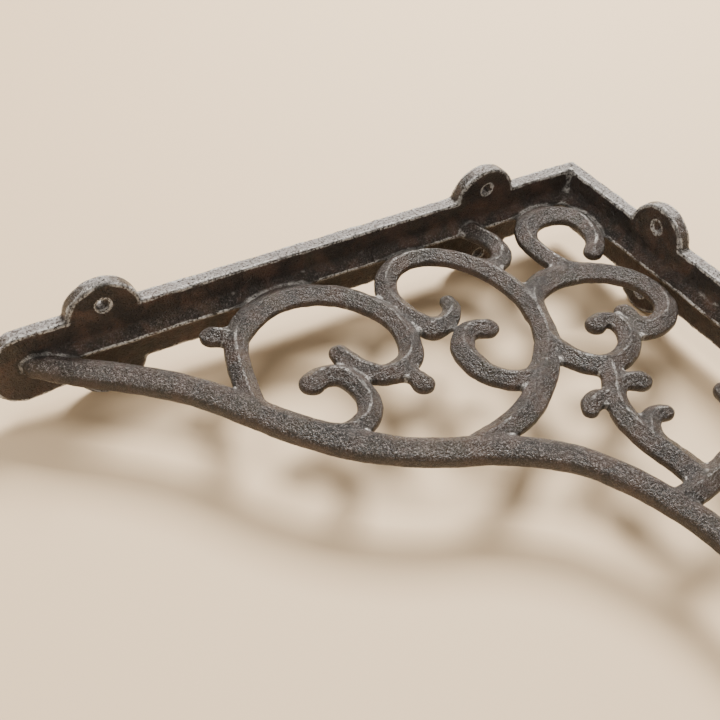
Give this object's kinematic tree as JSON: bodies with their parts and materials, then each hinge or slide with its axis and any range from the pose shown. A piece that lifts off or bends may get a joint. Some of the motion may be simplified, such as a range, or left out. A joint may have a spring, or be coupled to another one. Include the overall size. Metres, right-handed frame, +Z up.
{
  "type": "shelf bracket",
  "caption": "Right-angle cast-iron scroll bracket for a wall shelf: two ribbed rails with round screw ears, an ogee brace and open scrollwork, lying on its side.",
  "frame": {"origin": "bottom centre of the bounding box, on the surface the bracket lies on", "axes": "+Z up through the thickness of the casting, +Y out of the outer face of the shelf rail, +X out of the outer face of the wall rail"},
  "size_m": [0.236, 0.286, 0.0454],
  "materials": {
    "rail_iron": "waxed black sand-cast iron, rust-brown bloom",
    "brace_iron": "waxed black sand-cast iron, coarse bright grain",
    "scroll_iron": "waxed black sand-cast iron, ridges rubbed bright"
  },
  "bodies": {
    "root": {"shelf_rail": "rail_iron", "wall_rail": "rail_iron", "shelf_ear_near_top": "rail_iron", "shelf_ear_near_under": "rail_iron", "shelf_ear_far_top": "rail_iron", "shelf_ear_far_under": "rail_iron", "wall_ear_near_top": "rail_iron", "wall_ear_near_under": "rail_iron", "wall_ear_far_top": "rail_iron", "wall_ear_far_under": "rail_iron", "brace_shelf_half": "brace_iron", "brace_wall_half": "brace_iron", "shelf_scroll": "scroll_iron", "shelf_scroll_curl": "scroll_iron", "shelf_scroll_leaf": "scroll_iron", "shelf_scroll_knob": "scroll_iron", "shelf_scroll_bud": "scroll_iron", "middle_scroll": "scroll_iron", "middle_scroll_curl": "scroll_iron", "middle_scroll_leaf": "scroll_iron", "middle_branch": "scroll_iron", "corner_scroll": "scroll_iron", "lower_scroll": "scroll_iron", "lower_scroll_curl": "scroll_iron", "lower_scroll_leaf": "scroll_iron", "stem": "scroll_iron", "stem_bud": "scroll_iron", "stem_tip_leaf": "scroll_iron", "stem_side_leaf": "scroll_iron", "wall_scroll": "scroll_iron", "wall_scroll_curl": "scroll_iron", "wall_scroll_leaf": "scroll_iron", "wall_scroll_bud": "scroll_iron"}
  },
  "joints": []
}
